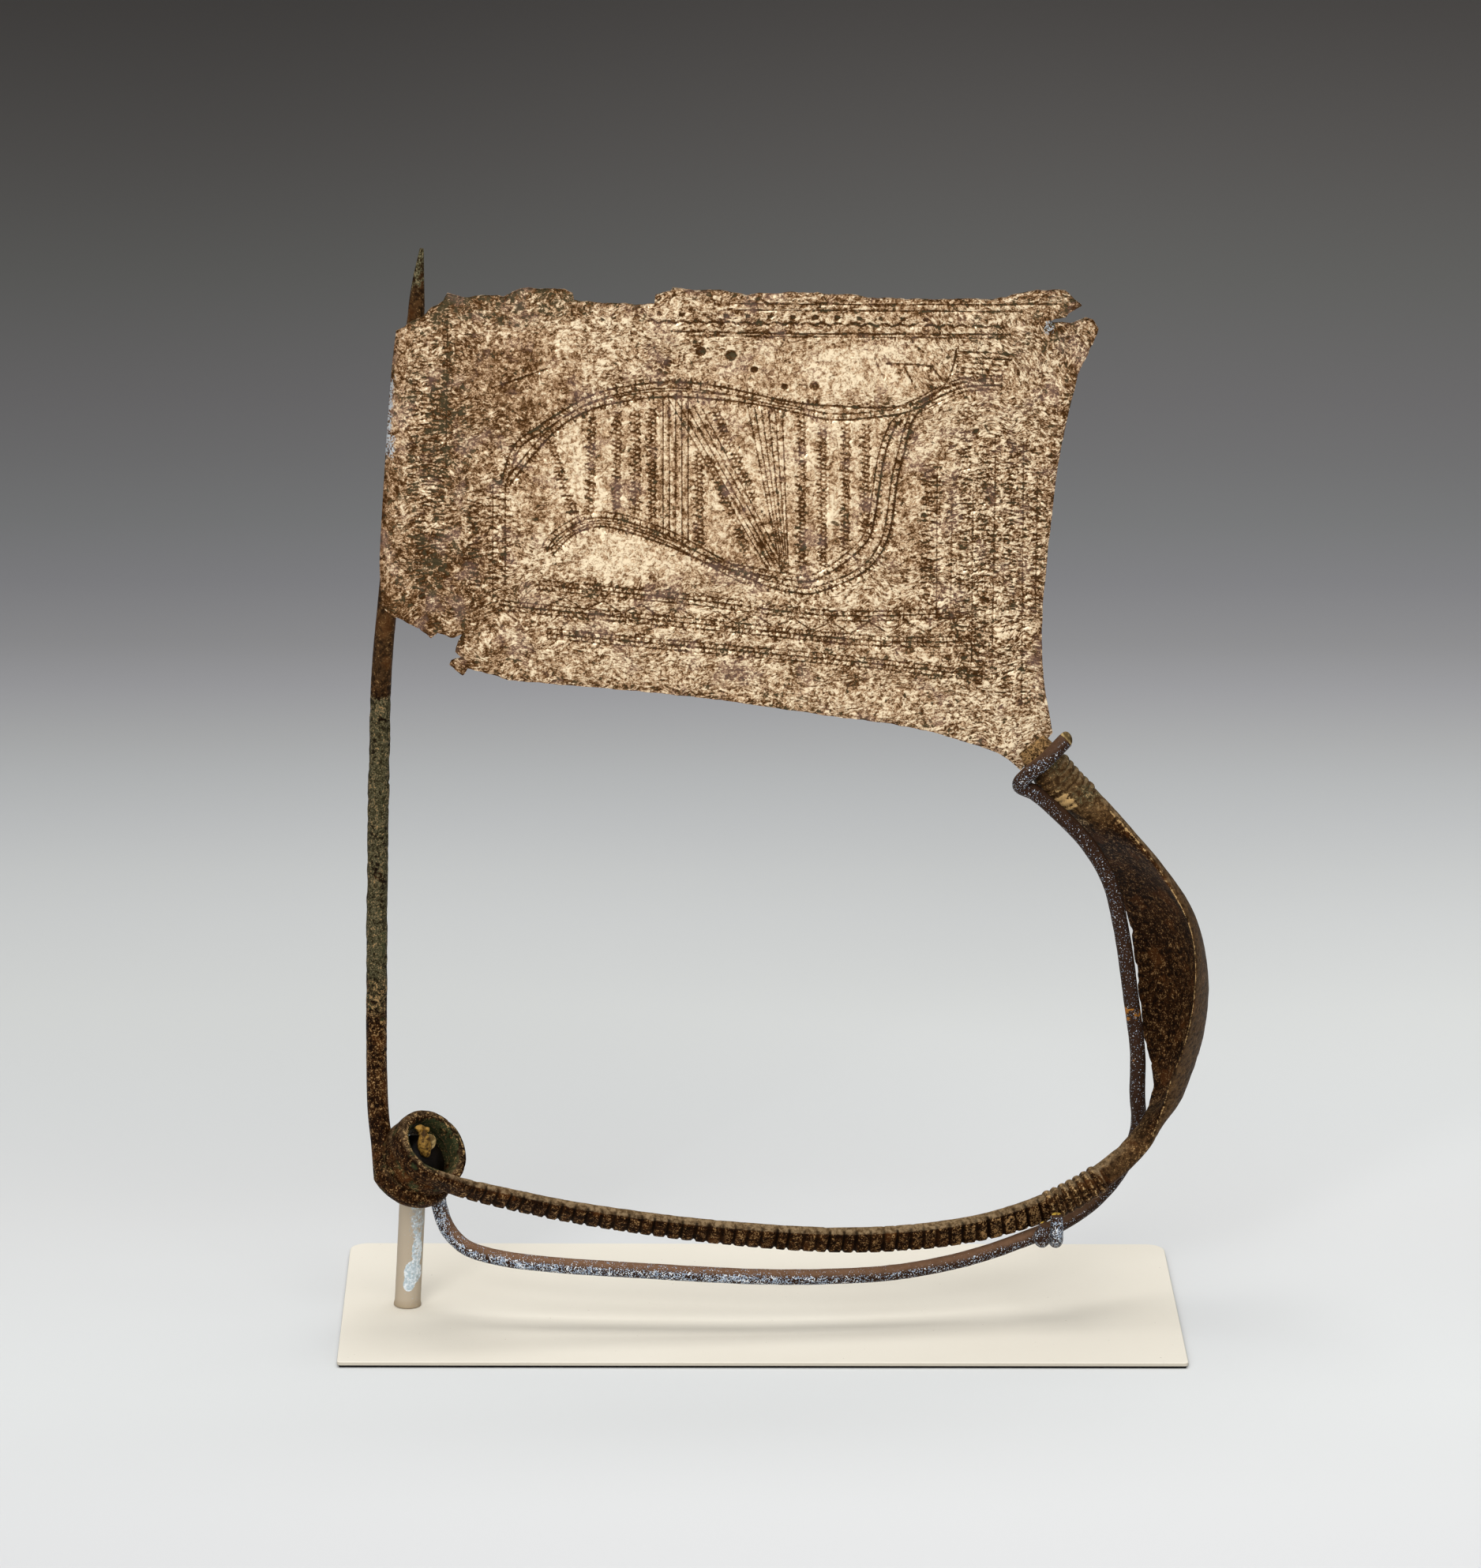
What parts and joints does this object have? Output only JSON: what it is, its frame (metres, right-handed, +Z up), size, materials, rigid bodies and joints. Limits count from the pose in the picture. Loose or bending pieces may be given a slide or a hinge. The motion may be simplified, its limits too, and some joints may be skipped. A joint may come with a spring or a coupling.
{
  "type": "fibula brooch",
  "caption": "Bronze bow brooch with a coiled spring, straight pin, leaf-shaped bow and broad engraved catch plate, held on a low museum mount.",
  "frame": {"origin": "middle of the underside of the base plate", "axes": "+X from the pin towards the swelling of the bow, -Y out of the engraved face of the catch plate, +Z up"},
  "size_m": [0.1351, 0.0556, 0.1706],
  "materials": {
    "bronze": "worn bronze with brown and green patina",
    "wire_paint": "brown paint with pale speckle over brass wire",
    "mount_paint": "cream matte paint"
  },
  "bodies": {
    "root": {"fibula": "bronze", "cradle_wire": "wire_paint", "claw_left": "wire_paint", "claw_right": "wire_paint", "post": "mount_paint", "base_plate": "mount_paint"}
  },
  "joints": []
}
